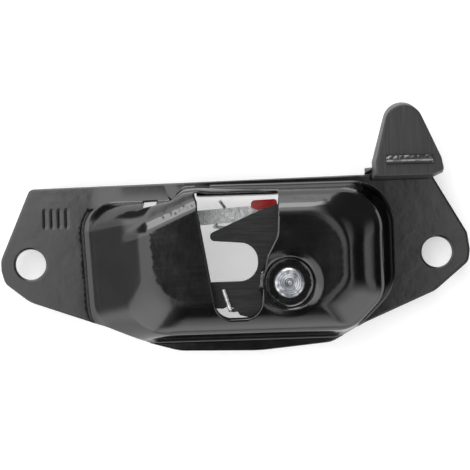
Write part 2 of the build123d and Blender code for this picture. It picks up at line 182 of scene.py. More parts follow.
def gloss_black():
    """Electrocoat: near black, even gloss, faint orange peel, dust and fine rub marks."""
    dark, light, dust = (0.0020, 0.0020, 0.0021), (0.0036, 0.0036, 0.0038), (0.050, 0.050, 0.052)
    mat, n, shader = material("black_gloss")
    shader["IOR"].default_value = 1.78
    v = n.coords()
    cloud = n.noise(v, 0.09, detail=4)
    speck = n.spread(n.noise(v, 1.9, detail=2), 0.74, 0.765)
    coat = n.mix(n.spread(cloud, 0.35, 0.7), dark, light)
    n.link(n.mix(speck, coat, dust), shader["Base Color"])
    rub = n.noise(n.coords((60, 1500, 900), turn=0.06), 1.0, detail=3)
    rough = n.plus(n.spread(cloud, 0.3, 0.75, 0.11, 0.14), n.spread(rub, 0.5, 0.8, 0.0, 0.04))
    n.link(rough, shader["Roughness"])
    peel = n.bump(n.noise(v, 0.16, detail=2), 0.10, 0.30)
    n.link(n.bump(n.noise(v, 0.9, detail=2), 0.008, 0.5, peel), shader["Normal"])
    return mat


def satin_black(name, brush, turn, tone, ior, rough_low, contrast):
    """Satin black with fine brushing in it; brush is the scale across and along the marks."""
    low, high = tone * (1 - 0.7 * contrast), tone * (1 + 1.5 * contrast)
    dark, light, dust = (low, low, low * 1.02), (high, high, high * 1.02), (0.05, 0.05, 0.05)
    mat, n, shader = material(name)
    shader["IOR"].default_value = ior
    v = n.coords()
    lines = n.noise(n.coords((*brush, 1500), turn), 1.0, detail=4, rough=0.6)
    cloud = n.noise(v, 0.2, detail=3)
    speck = n.spread(n.noise(v, 2.6, detail=2), 0.73, 0.76)
    coat = n.mix(n.spread(lines, 0.42, 0.64), dark, light)
    n.link(n.mix(speck, coat, dust), shader["Base Color"])
    rough = n.plus(n.spread(cloud, 0.3, 0.7, rough_low, rough_low + 0.06),
                   n.spread(lines, 0.3, 0.8, 0.0, 0.06))
    n.link(rough, shader["Roughness"])
    brushed = n.bump(lines, 0.006, 0.5)
    n.link(n.bump(n.noise(v, 1.7, detail=3), 0.008, 0.4, brushed), shader["Normal"])
    return mat


def zinc(name, rough=(0.30, 0.52), streaks=(900, 60), tone=(0.62, 0.64, 0.66), stain=0.5):
    """Bright zinc plating: mottled spangle, fine drawn streaks and darker stains."""
    dark = tuple(c * 0.55 for c in tone)
    light = tuple(min(1.0, c * 1.38) for c in tone)
    stained = (0.10, 0.11, 0.12)
    mat, n, shader = material(name)
    shader["Metallic"].default_value = 0.6
    v = n.coords()
    mottle = n.noise(v, 0.9, detail=5, rough=0.65)
    lines = n.noise(n.coords((*streaks, 700)), 1.0, detail=3)
    base = n.mix(n.spread(mottle, 0.30, 0.68), dark, light)
    base = n.mix(n.spread(lines, 0.45, 0.75, 0.0, 0.55), base, light)
    spots = n.spread(n.noise(v, 0.35, detail=4), 0.62, 0.72, 0.0, stain)
    n.link(n.mix(spots, base, stained), shader["Base Color"])
    n.link(n.plus(n.spread(mottle, 0.3, 0.7, *rough), n.spread(lines, 0.3, 0.8, 0.0, 0.08)),
           shader["Roughness"])
    n.link(n.bump(mottle, 0.03, 0.5, n.bump(lines, 0.02, 0.5)), shader["Normal"])
    return mat


TENON_FROM, TENON_LINE = (46.0, 47.5), 34.9


def arm_zinc():
    """The lever's zinc, mottled and streaked; the staked tenon is black but for worn edges and a
    painted highlight along its middle line.
    """
    dark, light, streak = (0.46, 0.52, 0.55), (0.97, 0.98, 0.98), (0.30, 0.33, 0.35)
    # The grey serves both the tenon's worn edges and the painted highlight along its middle.
    paint_black, worn_and_highlight_grey = (0.012, 0.012, 0.013), (0.50, 0.50, 0.51)
    mat, n, shader = material("zinc_arm")
    v = n.coords()
    mottle = n.noise(v, 0.55, detail=5, rough=0.7)
    lines = n.noise(n.coords((1100, 90, 700), turn=0.05), 1.0, detail=3)
    base = n.mix(n.spread(mottle, 0.32, 0.48), dark, light)
    base = n.mix(n.spread(lines, 0.54, 0.70, 0.0, 0.6), base, streak)
    x, y, z = n.split(v)
    tenon = n.spread(x, *TENON_FROM)
    edges = n.spread(n.add("ShaderNodeNewGeometry").outputs["Pointiness"], 0.60, 0.72)
    edges = n.times(edges, n.spread(n.noise(v, 0.8, detail=3), 0.46, 0.60))
    # The patchy grey band along the tenon's middle line is a painted highlight on its crest.
    off_middle = n.math("ABSOLUTE", n.minus(y, TENON_LINE))
    patchy = n.spread(n.noise(v, 0.5, detail=3), 0.34, 0.55, 0.3, 0.9)
    crest_highlight = n.times(n.spread(off_middle, 0.15, 0.50, 0.6, 0.0), patchy)
    staked = n.mix(n.most(edges, crest_highlight), paint_black, worn_and_highlight_grey)
    n.link(n.mix(tenon, base, staked), shader["Base Color"])
    n.link(n.times(n.minus(1.0, tenon), 0.85), shader["Metallic"])
    n.link(n.spread(mottle, 0.3, 0.7, 0.34, 0.55), shader["Roughness"])
    lumps = n.bump(mottle, 0.30, 0.8)
    n.link(n.bump(n.noise(v, 1.1, detail=3), 0.05, 0.5, lumps), shader["Normal"])
    return mat


def red_plastic():
    """Moulded red plastic, coral toward one end and deep red toward the other, with a painted
    highlight along its rims.
    """
    coral_end, deep_red_end = (1.0, 0.13, 0.11), (0.95, 0.010, 0.018)
    # rim is the colour of a painted highlight along the clip's edges.
    cloudy, rim = (0.92, 0.20, 0.17), (0.95, 0.50, 0.45)
    mat, n, shader = material("red_plastic")
    shader["Subsurface Weight"].default_value = 0.08
    shader["IOR"].default_value = 1.38
    v = n.coords()
    x, y, z = n.split(v)
    cloud = n.noise(v, 0.6, detail=3)
    # Coral toward the left end, deep red toward the right.
    base = n.mix(n.spread(x, 7.0, 14.0), coral_end, deep_red_end)
    base = n.mix(n.spread(cloud, 0.4, 0.8, 0.0, 0.4), base, cloudy)
    # Paler along sharp edges: a painted highlight on the rims.
    edge = n.add("ShaderNodeNewGeometry").outputs["Pointiness"]
    n.link(n.mix(n.spread(edge, 0.55, 0.66, 0.0, 0.6), base, rim), shader["Base Color"])
    n.link(n.spread(cloud, 0.3, 0.7, 0.30, 0.42), shader["Roughness"])
    n.link(n.bump(n.noise(v, 2.2, detail=2), 0.02, 0.4), shader["Normal"])
    return mat


def rubber():
    dark, light = (0.012, 0.012, 0.012), (0.03, 0.03, 0.03)
    mat, n, shader = material("rubber")
    grain = n.noise(n.coords(), 3.0, detail=4)
    n.link(n.mix(grain, dark, light), shader["Base Color"])
    n.link(n.spread(grain, 0.3, 0.7, 0.6, 0.75), shader["Roughness"])
    n.link(n.bump(grain, 0.03, 0.5), shader["Normal"])
    return mat


def spun_zinc():
    """Rivet head: rings round the axis, painted shade in a ring near the middle and three darker rays
    of painted reflection.
    """
    dull, bright, ring_light = (0.16, 0.17, 0.20), (0.60, 0.61, 0.64), (0.80, 0.80, 0.82)
    # Colours of the painted shade in the ring round the centre hollow, and of the painted reflection
    # rays.
    painted_ring_shade, painted_ray_dark = (0.10, 0.11, 0.13), (0.30, 0.32, 0.36)
    mat, n, shader = material("spun_zinc")
    shader["Metallic"].default_value = 1.0
    v = n.coords()
    centred = n.add("ShaderNodeVectorMath", operation="SUBTRACT")
    centred.inputs[1].default_value = (CLAW_X, CLAW_Y, 19.0)
    n.link(v, centred.inputs[0])
    x, y, z = n.split(centred.outputs[0])
    radius = n.math("SQRT", n.plus(n.times(x, x), n.times(y, y)))
    rings = n.add("ShaderNodeTexNoise", noise_dimensions="1D", Scale=3.2, Detail=4.0)
    n.link(radius, rings.inputs["W"])
    ring = rings.outputs["Fac"]
    # Three darker rays painted into the colour: a painted reflection of the star that spun rings show
    # under the lamps.
    painted_rays = n.math("SINE", n.times(n.math("ARCTAN2", y, x), 3.0))
    mottle = n.noise(v, 0.45, detail=4)
    base = n.mix(n.spread(mottle, 0.38, 0.62), dull, bright)
    base = n.mix(n.spread(ring, 0.40, 0.7, 0.0, 0.35), base, ring_light)
    # A ring near the middle darkened with painted shade round the centre hollow.
    painted_hollow_shade = n.times(n.spread(radius, 0.5, 1.1), n.spread(radius, 1.4, 2.2, 1.0, 0.0))
    base = n.mix(n.times(painted_hollow_shade, 0.75), base, painted_ring_shade)
    n.link(n.mix(n.spread(painted_rays, -0.2, 1.0, 0.0, 0.45), base, painted_ray_dark), shader["Base Color"])
    n.link(n.spread(ring, 0.3, 0.7, 0.20, 0.42), shader["Roughness"])
    n.link(n.bump(mottle, 0.05, 0.5, n.bump(ring, 0.06, 0.7)), shader["Normal"])
    return mat


GLOSS = gloss_black()
CLAW_BLACK = satin_black("claw_black", brush=(90, 1500), turn=math.radians(-24), tone=0.0085,
                         ior=1.42, rough_low=0.42, contrast=0.65)
PADDLE_BLACK = satin_black("paddle_black", brush=(2200, 45), turn=0.0, tone=0.032,
                           ior=1.5, rough_low=0.34, contrast=0.22)
ZINC = zinc("zinc_plate")
ZINC_ARM = arm_zinc()
WIRE = zinc("zinc_wire", rough=(0.25, 0.4), streaks=(300, 300), tone=(0.72, 0.72, 0.73))
STEEL = zinc("plain_steel", rough=(0.35, 0.5), streaks=(200, 900), tone=(0.40, 0.40, 0.41),
             stain=0.7)
RED = red_plastic()
RUBBER = rubber()
BY_SLOT = {"black_gloss": GLOSS, "black_satin": CLAW_BLACK, "zinc": ZINC, "zinc_wire": WIRE,
           "steel": STEEL, "red_plastic": RED, "rubber": RUBBER}
SLOT_OF = {row["node"]: row["material_slot"] for row in frame["record"]["subparts"]}


def paint(obj, mat):
    obj.data.materials.clear()
    obj.data.materials.append(mat)


for node_name, node_obj in frame["nodes"].items():
    paint(node_obj, BY_SLOT[SLOT_OF[node_name]])


def new_piece(name, verts, faces, mat, body, slot, nodes, smooth):
    """Object from millimetre points, dressed, riding on its body."""
    mesh = bpy.data.meshes.new(name)
    mesh.from_pydata([tuple(c * MM for c in v) for v in verts], [], faces)
    mesh.validate()
    mesh.update()
    return finish_piece(name, mesh, mat, body, nodes, smooth)


def finish_piece(name, mesh, mat, body, nodes, smooth):
    mesh.shade_smooth()
    mesh.set_sharp_from_angle(angle=math.radians(smooth))
    obj = bpy.data.objects.new(name, mesh)
    bpy.context.scene.collection.objects.link(obj)
    paint(obj, mat)
    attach(obj, body)
    if nodes:
        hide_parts(*nodes)
    return obj


MERGE, FLAT_ANGLE, BEVEL_SEGMENTS, DRESS_SMOOTH = 0.003, 1.0, 3, 40


def dress(node, name, mat, body, width, angle=30):
    """Copy of a CAD solid with its sharp edges rounded over."""
    mesh = frame["nodes"][node].data.copy()
    bm = bmesh.new()
    bm.from_mesh(mesh)
    bmesh.ops.remove_doubles(bm, verts=bm.verts, dist=MERGE * MM)
    bmesh.ops.dissolve_limit(bm, angle_limit=math.radians(FLAT_ANGLE), verts=bm.verts,
                             edges=bm.edges)
    limit = math.radians(angle)
    sharp = [e for e in bm.edges if len(e.link_faces) == 2 and e.calc_face_angle(0) > limit]
    bmesh.ops.bevel(bm, geom=sharp, offset=width * MM, segments=BEVEL_SEGMENTS, profile=0.5,
                    affect="EDGES", clamp_overlap=True)
    bm.to_mesh(mesh)
    bm.free()
    if "custom_normal" in mesh.attributes:
        mesh.attributes.remove(mesh.attributes["custom_normal"])
    obj = finish_piece(name, mesh, mat, body, (node,), DRESS_SMOOTH)
    obj.modifiers.new("weigh", "WEIGHTED_NORMAL").keep_sharp = True
    return obj


def outline(corners, step):
    """Points about a step apart round a closed outline of (x, y, corner radius)."""
    nearly_straight = 1.56
    ends = np.array([c[:2] for c in corners], float)
    points = []
    for i, (x, y, radius) in enumerate(corners):
        here = ends[i]
        before = ends[i - 1] - here
        after = ends[(i + 1) % len(corners)] - here
        before /= np.linalg.norm(before)
        after /= np.linalg.norm(after)
        half = math.acos(max(-1.0, min(1.0, float(before @ after)))) / 2
        if radius <= 0 or half > nearly_straight:
            points.append(here)
            continue
        bisector = before + after
        centre = here + bisector / np.linalg.norm(bisector) * radius / math.sin(half)
        first = here + before * radius / math.tan(half) - centre
        last = here + after * radius / math.tan(half) - centre
        start = math.atan2(first[1], first[0])
        turn = (math.atan2(last[1], last[0]) - start + math.pi) % (2 * math.pi) - math.pi
        count = max(2, int(abs(turn) * radius / step) + 1)
        for k in range(count + 1):
            a = start + turn * k / count
            points.append(centre + radius * np.array([math.cos(a), math.sin(a)]))
    return divide(np.array(points), step)


def divide(points, step):
    """Adds points so that no run is much longer than a step."""
    same_point = 1e-4
    out = []
    for a, b in zip(points, np.roll(points, -1, axis=0)):
        run = np.linalg.norm(b - a)
        if run < same_point:
            continue
        count = max(1, int(math.ceil(run / step - 0.2)))
        for k in range(count):
            out.append(a + (b - a) * k / count)
    return np.array(out)


def shifted(loop, distance):
    """Loop moved outward by a distance (inward if negative)."""
    x, y = loop[:, 0], loop[:, 1]
    twice_area = float(np.sum(x * np.roll(y, -1) - y * np.roll(x, -1)))
    side = 1.0 if twice_area > 0 else -1.0
    ahead = np.roll(loop, -1, axis=0) - np.roll(loop, 1, axis=0)
    ahead /= np.linalg.norm(ahead, axis=1)[:, None]
    return loop + distance * side * np.stack([ahead[:, 1], -ahead[:, 0]], 1)


def inside(points, loop):
    """True for each point within the loop."""
    result = np.zeros(len(points), bool)
    x, y = points[:, 0], points[:, 1]
    for (x0, y0), (x1, y1) in zip(loop, np.roll(loop, -1, axis=0)):
        if y1 != y0:
            crosses = (y0 > y) != (y1 > y)
            result ^= crosses & (x < (x1 - x0) * (y - y0) / (y1 - y0) + x0)
    return result


def distance(points, loop):
    """Distance of each point to the loop."""
    best = np.full(len(points), 1e9)
    for a, b in zip(loop, np.roll(loop, -1, axis=0)):
        best = np.minimum(best, off_segment(points, a, b))
    return best


def off_segment(points, a, b):
    run = b - a
    share = np.clip(((points - a) @ run) / max(float(run @ run), 1e-12), 0, 1)
    return np.linalg.norm(points - a - share[:, None] * run, axis=1)


def step_curve(value, low, high):
    share = np.clip((value - low) / (high - low), 0, 1)
    return share * share * (3 - 2 * share)


def triangles(loops, points):
    """Constrained triangulation of closed loops and loose points."""
    inner_only, tolerance, with_origin = 0, 1e-5, True
    verts, edges = [], []
    for loop in loops:
        start = len(verts)
        verts += [Vector(p) for p in loop]
        edges += [(start + k, start + (k + 1) % len(loop)) for k in range(len(loop))]
    verts += [Vector(p) for p in points]
    out = delaunay_2d_cdt(verts, edges, [], inner_only, tolerance, with_origin)
    return np.array([tuple(v) for v in out[0]]), [tuple(f) for f in out[2]]


def thick_sheet(points, faces, normals, thickness, drop):
    """Sheet with both skins and its cut edges, from a top skin."""
    count = len(points)
    top = points - normals * drop[:, None]
    under = points - normals * (thickness - drop)[:, None]
    edges = {(a, b): True for f in faces for a, b in zip(f, f[1:] + f[:1])}
    rim = [(a, b) for a, b in edges if (b, a) not in edges]
    both = list(faces)
    both += [tuple(i + count for i in reversed(f)) for f in faces]
    both += [(b, a, a + count, b + count) for a, b in rim]
    return np.concatenate([top, under]), both


def vertex_normals(points, faces):
    tri = np.array(faces)
    a, b, c = points[tri[:, 0]], points[tri[:, 1]], points[tri[:, 2]]
    face = np.cross(b - a, c - a)
    total = np.zeros_like(points)
    for k in range(3):
        np.add.at(total, tri[:, k], face)
    return total / np.maximum(np.linalg.norm(total, axis=1), 1e-12)[:, None]


# Drawn wall: how far each side has come in at a height above the flange. Share goes from
# 0 at the foot to 1 at the face, lip is the part of the lip's rise at the upper edge.
WALL = np.array([
    # height, share, left, right, bottom, top, lip
    (0.0, 0.00, 0.0, 0.0, 0.0, 0.0, 0.00),
    (0.6, 0.06, 1.1, 0.7, 0.5, 0.5, 0.05),
    (3.0, 0.20, 3.8, 1.9, 1.4, 1.2, 0.12),
    (8.0, 0.42, 9.5, 3.7, 2.5, 2.1, 0.22),
    (11.0, 0.55, 13.0, 4.75, 3.15, 2.7, 0.28),
    (12.0, 0.60, 14.2, 5.3, 3.5, 2.95, 0.30),
    (13.2, 0.66, 15.7, 6.35, 4.5, 3.7, 0.34),
    (14.6, 0.72, 17.5, 8.3, 6.3, 5.0, 0.38),
    (16.6, 0.85, 20.2, 12.7, 9.9, 7.4, 0.50),
    (17.75, 0.95, 22.4, 17.2, 12.8, 9.8, 0.72),
    (18.0, 1.00, 23.8, 20.0, 15.0, 12.2, 1.00),
])
WALL_PARTS, RING_STEP = 5, 0.9
# The chamfer at the dome's lower right and how much it and the corners shrink toward the face.
CHAMFER, CHAMFER_SHRINK, CORNER_SHRINK = 18.4, 0.55, 0.45
FLANGE = [
    (-77.4, 28.8, 2.5), (76.1, 30.8, 2.5), (89.6, 7.2, 4), (90.5, 0.6, 5), (89.8, -4.0, 4),
    (76.8, -14.7, 8), (49.6, -26.1, 10), (36.4, -33.2, 9), (8.9, -35.6, 60), (-21.8, -34.8, 20),
    (-33.2, -31.5, 16), (-48.4, -25.3, 30), (-78.6, -14.4, 12), (-87.9, -7.0, 5),
    (-89.2, -2.0, 5), (-89.2, 2.0, 5),
]
MOUTH = [
    (-14.2, BAR_LOWER_Y, 0.6), (-6.55, -23.1, 6.4), (9.45, -22.9, 6.8), (11.0, -7.6, 6),
    (12.6, 1.2, 6), (16.5, 8.5, 6), (17.5, BAR_LOWER_Y, 0.6),
]
SLOT = [(-34.0, 20.3, 0.5), (-28.6, 21.2, 0.5), (-28.6, 22.9, 0.4), (-34.0, 22.7, 0.4)]
FLANGE_STEP, MOUTH_STEP, SLOT_STEP, CIRCLE_PARTS = 0.8, 0.5, 0.3, 64
CIRCLE = np.array([(math.cos(a), math.sin(a))
                   for a in np.linspace(0, 2 * math.pi, CIRCLE_PARTS, endpoint=False)])


def spline_rows(table, parts):
    """Smooth rows between the table's rows."""
    rows = []
    for i in range(len(table) - 1):
        p0 = table[max(i - 1, 0)]
        p1, p2 = table[i], table[i + 1]
        p3 = table[min(i + 2, len(table) - 1)]
        m1, m2 = (p2 - p0) / 2, (p3 - p1) / 2
        for k in range(parts):
            t = k / parts
            rows.append((2 * t**3 - 3 * t**2 + 1) * p1 + (t**3 - 2 * t**2 + t) * m1
                        + (-2 * t**3 + 3 * t**2) * p2 + (t**3 - t**2) * m2)
    rows.append(table[-1])
    return rows


def dome_ring(row):
    """One level of the drawn dome as (x, y, corner radius), counterclockwise from its upper right."""
    height, share, left, right, bottom, top, lip = row
    x0, x1 = DOME_LEFT + left, DOME_RIGHT - right
    y0, y1 = DOME_BOTTOM + bottom, DOME_TOP - top
    chamfer = CHAMFER * (1 - CHAMFER_SHRINK * share)
    shrink = 1 - CORNER_SHRINK * share
    return [
        (x1, y1, 16.0),
        (17.0, y1, 3.0),
        (-13.0, DOME_TOP - 3.0 * lip, 3.0),
        (-18.6, DOME_TOP - 0.2 - 3.7 * lip, 4.0),
        (-23.5, DOME_TOP - 5.3 - 0.8 * lip, 4.0),
        (x0, DOME_TOP - 5.3 - 3.4 * lip, 11.0 * shrink),
        (x0 + 2.5, y0, 16.0),
        (x1 - chamfer, y0, 18.0 * shrink),
        (x1, y0 + chamfer, 16.0 * shrink),
    ]


RINGS = [(SHEET + max(0.0, row[0]), outline(dome_ring(row), RING_STEP))
         for row in spline_rows(WALL, WALL_PARTS)]
FOOT, FACE = RINGS[0][1], RINGS[-1][1]


def base_height(points):
    """Height of the smooth dome at each point."""
    z = np.full(len(points), SHEET)
    within = [inside(points, loop) for height, loop in RINGS]
    gaps = [distance(points, loop) for height, loop in RINGS]
    for k, (height, loop) in enumerate(RINGS[:-1]):
        between = within[k] & ~within[k + 1]
        share = gaps[k] / np.maximum(gaps[k] + gaps[k + 1], 1e-9)
        z[between] = (height + (RINGS[k + 1][0] - height) * share)[between]
    z[within[-1]] = RINGS[-1][0]
    return z


def left_of(points, a, b):
    """Signed distance from the line a-b, positive on its left."""
    a, b = np.array(a), np.array(b)
    run = (b - a) / np.linalg.norm(b - a)
    rel = points - a
    return -rel[:, 0] * run[1] + rel[:, 1] * run[0]


# Recess round the claw's rivet: a gentle dish, then a sharp step down.
PAD_RADIUS, PAD_DEPTH, PAD_REACH, PAD_DISH = 9.4, 2.5, 3.8, 0.32
PAD_STEP = (-0.6, 0.7)
# Lip left of the mouth: one step down across a line, then a ledge that falls to its edge.
LIP_LINE = ((-27.9, 15.0), (-13.5, 21.3))
LIP_STEP, LIP_HALF = 1.7, 2.4
LEDGE_FALL, LEDGE_RUN = 0.045, 9.0
CURL_FALL, CURL_FROM, CURL_RUN = 0.030, 4.2, 6.0
# Flange pulled up beside the lip by the draw, and the pressed line round the dome's left foot.
PULL, PULL_REACH, PULL_HEIGHT = 1.15, 5.0, 2.0
GROOVE_AT, GROOVE_DEPTH, GROOVE_WIDTH = 1.0, 0.14, 0.7
# Fine dents of the stretched metal as (x, y, radius), and the strokes pressed in the flange.
STRETCH = [(24.0 + 1.45 * k, 22.2 - 0.05 * k + 0.25 * math.sin(2.1 * k), 0.55 + 0.1 * (k % 3))
           for k in range(9)]
PITS = [(-26.5 + 1.55 * k, 16.3 + 0.62 * k + 0.7 * math.sin(1.7 * k), 0.45 + 0.12 * (k % 3))
        for k in range(9)]
DENT_DEPTH = 0.16
STROKE_LEFTS, STROKE_LOW, STROKE_HIGH = (-71.8, -69.0, -66.2, -63.4), 14.2, 20.2
STROKE_DEPTH, STROKE_WIDTH = 0.28, 0.42


def features(points, z):
    """Everything pressed into the sheet besides the dome itself."""
    x, y = points[:, 0], points[:, 1]
    share = np.clip((z - SHEET) / (DOME_HEIGHT - SHEET), 0, 1)
    out = z.copy()
    r = np.hypot(x - CLAW_X, y - CLAW_Y) - PAD_RADIUS
    depth = PAD_DISH * (1 - step_curve(r, 0.0, PAD_REACH))
    depth += (PAD_DEPTH - PAD_DISH) * (1 - step_curve(r, *PAD_STEP))
    out -= depth * share
    off = left_of(points, *LIP_LINE)
    ledge = LEDGE_FALL * np.clip(off - LIP_HALF, 0, LEDGE_RUN)
    curl = CURL_FALL * np.clip(off - CURL_FROM, 0, CURL_RUN) ** 2
    fade = step_curve(x, -45.0, -33.0) * (x < 2)
    out -= share * fade * (LIP_STEP * step_curve(off, -LIP_HALF, LIP_HALF) + ledge + curl)
    for cx, cy, size in STRETCH + PITS:
        out -= DENT_DEPTH * share * np.exp(-(np.hypot(x - cx, y - cy) / size) ** 2)
    outside = ~inside(points, FOOT)
    near = distance(points, FOOT) * outside
    pull = step_curve(x, -54.0, -42.0) * step_curve(y, 12.0, 19.0)
    pull *= 1 - step_curve(x, -28.0, -8.0)
    out += PULL * np.exp(-near / PULL_REACH) * np.exp(-(z - SHEET) / PULL_HEIGHT) * pull
    for left in STROKE_LEFTS:
        d = off_segment(points, np.array((left, STROKE_LOW)), np.array((left, STROKE_HIGH)))
        out -= STROKE_DEPTH * (1 - share) * np.exp(-(d / STROKE_WIDTH) ** 2)
    off = distance(points, shifted(FOOT, GROOVE_AT))
    out -= GROOVE_DEPTH * np.exp(-(off / GROOVE_WIDTH) ** 2) * outside * (y < 20) * (x < -45)
    return out


def cut_outlines():
    """The sheet's outline and each cut in it, with the sign that leads into the metal."""
    holes = [CIRCLE * HOLE_RADIUS + (side * HOLE_X, 0) for side in (-1, 1)]
    cuts = [(outline(FLANGE, FLANGE_STEP), -1), (outline(MOUTH, MOUTH_STEP), 1),
            (outline(SLOT, SLOT_STEP), 1)]
    return cuts + [(hole, 1) for hole in holes]


def in_metal(points, cuts):
    ok = inside(points, cuts[0][0])
    for loop, side in cuts[1:]:
        ok &= ~inside(points, loop)
    return ok


def off_cuts(points, cuts):
    return np.minimum.reduce([distance(points, loop) for loop, side in cuts])


def lattice(x0, x1, y0, y1, step):
    xs, ys = np.meshgrid(np.arange(x0, x1, step), np.arange(y0, y1, step))
    grid = np.stack([xs.ravel(), ys.ravel()], 1)
    grid[:, 0] += 0.5 * step * ((grid[:, 1] / step).astype(int) % 2)
    return grid


# Mesh lines beside each cut, beside the dome's foot and round the recess, and the boxes
# (x0, x1, y0, y1, step) of loose points: the whole sheet, then each place with fine forms.
CUT_LINES = (0.12, 0.40, 0.90)
FOOT_LINES = (0.5, 1.0, 1.5, 2.2)
PAD_LINES = (8.6, 9.0, 9.4, 9.8, 10.3, 11.2)
PAD_CLEAR = (8.3, 11.6)
CUT_CLEAR, RING_CLEAR = 1.3, 0.3
WHOLE = (-90, 91, -36, 31, 1.25)
FINE = [(-74, -61, 13, 22, 0.35), (-40, -12, 12, 30, 0.55), (6, 36, -26, 6, 0.7),
        (20, 40, 16, 25, 0.5)]


def loose_points(cuts):
    """Points between the mesh lines; the wall has only its rings."""
    fine = [lattice(*box) for box in FINE]
    pad = np.concatenate([CIRCLE * r + (CLAW_X, CLAW_Y) for r in PAD_LINES])
    grids = [lattice(*WHOLE)] + fine + [pad]
    kept = []
    for g in grids:
        ok = in_metal(g, cuts) & (off_cuts(g, cuts) > CUT_CLEAR)
        ok &= ~(inside(g, FOOT) & ~inside(g, FACE))
        ok &= (distance(g, FOOT) > RING_CLEAR) & (distance(g, FACE) > RING_CLEAR)
        if g is not pad:
            r = np.hypot(g[:, 0] - CLAW_X, g[:, 1] - CLAW_Y)
            ok &= (r < PAD_CLEAR[0]) | (r > PAD_CLEAR[1])
        if g is grids[0]:
            for f in fine:
                low, high = f.min(0), f.max(0)
                ok &= ~((g > low) & (g < high)).all(1)
        kept.append(g[ok])
    return np.concatenate(kept)


EDGE_ROUND, EDGE_WIDTH, THINNING = 0.36, 0.40, 0.9


def edge_drop(points, cuts):
    """How far the top skin sinks toward a cut edge."""
    share = 1 - np.clip(off_cuts(points, cuts) / EDGE_WIDTH, 0, 1)
    return EDGE_ROUND * (1 - np.sqrt(np.clip(1 - share ** 2, 0, 1)))


def thickness(points):
    """Sheet thickness, less inside where the claw's hook and the pawl swing past it."""
    x, y = points[:, 0], points[:, 1]
    at_bar = step_curve(y, 24.0, 25.2) * step_curve(x, -17.0, -14.0)
    at_bar *= 1 - step_curve(x, 18.0, 21.0)
    at_pawl = step_curve(y, -4.0, 2.0) * (1 - step_curve(y, 12.0, 18.0))
    at_pawl *= step_curve(x, -56.0, -48.0) * (1 - step_curve(x, -37.0, -33.0))
    return SHEET - THINNING * (at_bar + at_pawl)


def housing_mesh():
    cuts = cut_outlines()
    loops = []
    for loop, side in cuts:
        loops.append(loop)
        loops += [shifted(loop, side * d) for d in CUT_LINES]
    loops += [loop for height, loop in RINGS]
    loops += [shifted(FOOT, d) for d in FOOT_LINES]
    points, faces = triangles(loops, loose_points(cuts))
    centres = np.array([points[list(f)].mean(0) for f in faces])
    faces = [f for f, ok in zip(faces, in_metal(centres, cuts)) if ok and len(f) == 3]
    used = sorted({i for f in faces for i in f})
    index = {old: new for new, old in enumerate(used)}
    faces = [tuple(index[i] for i in f) for f in faces]
    points = points[used]
    skin = np.column_stack([points, features(points, base_height(points))])
    a, b, c = (points[np.array(faces)[:, k]] for k in range(3))
    faces = [f[::-1] if turned else f for f, turned in zip(faces, np.cross(b - a, c - a) < 0)]
    normals = vertex_normals(skin, faces)
    return thick_sheet(skin, faces, normals, thickness(points), edge_drop(points, cuts))


new_piece("housing_shell", *housing_mesh(), GLOSS, "frame", "black_gloss", ("housing",), smooth=60)


def strip(name, profile, x0, x1, parts):
    """Closed profile of (y, z) points drawn along X on the housing, pinched at its ends."""
    pinch = 0.105
    count = len(profile)
    cy = sum(y for y, z in profile) / count
    cz = sum(z for y, z in profile) / count
    verts, faces = [], []
    for k in range(parts + 1):
        end = pinch if k in (0, parts) else 0.0
        x = x0 + (x1 - x0) * k / parts
        verts += [(x, y + (cy - y) * end, z + (cz - z) * end) for y, z in profile]
    for k in range(parts):
        for i in range(count):
            j = (i + 1) % count
            faces.append((k * count + i, k * count + j, (k + 1) * count + j, (k + 1) * count + i))
    faces.append(tuple(reversed(range(count))))
    faces.append(tuple(parts * count + i for i in range(count)))
    return new_piece(name, verts, faces, GLOSS, "frame", "black_gloss", (), smooth=50)


BAR_PROFILE = [
    (28.4, 1.85), (26.2, 1.9), (25.85, 1.75), (25.55, 1.2), (25.3, 0.7), (25.0, 0.75),
    (24.75, 0.9), (24.45, 0.85), (24.25, 0.55), (24.15, 0.0), (24.0, -1.5), (23.8, -3.9),
    (23.9, -4.1), (25.4, -4.1), (25.6, -3.8), (25.8, -1.5), (26.2, -0.2), (27.0, 0.1),
    (28.4, 0.15),
]
EAR_PROFILE = [
    (29.2, 1.9), (30.4, 1.98), (30.75, 2.15), (30.95, 2.45), (31.0, 3.0), (31.0, 5.7), (31.3, 6.0),
    (32.6, 6.0), (32.95, 5.7), (33.0, 3.0), (32.9, 2.0), (32.4, 1.0), (31.6, 0.35), (30.4, 0.06),
    (29.2, 0.06),
]
strip("bar_lip", BAR_PROFILE, -13.6, 17.8, parts=24)
strip("stop_ear", EAR_PROFILE, 51.0, 58.0, parts=6)


def lathe(name, profile, x, y, mat, body, slot, nodes):
    """Profile of (radius, z) points turned about an axis at (x, y)."""
    parts, smooth = 96, 40
    verts, faces = [], []
    for r, z in profile:
        for k in range(parts):
            a = 2 * math.pi * k / parts
            verts.append((x + r * math.cos(a), y + r * math.sin(a), z))
    for i in range(len(profile) - 1):
        for k in range(parts):
            j = (k + 1) % parts
            faces.append((i * parts + k, i * parts + j, (i + 1) * parts + j, (i + 1) * parts + k))
    faces.append(tuple(reversed(range(parts))))
    last = (len(profile) - 1) * parts
    faces.append(tuple(last + k for k in range(parts)))
    return new_piece(name, verts, faces, mat, body, slot, nodes, smooth)


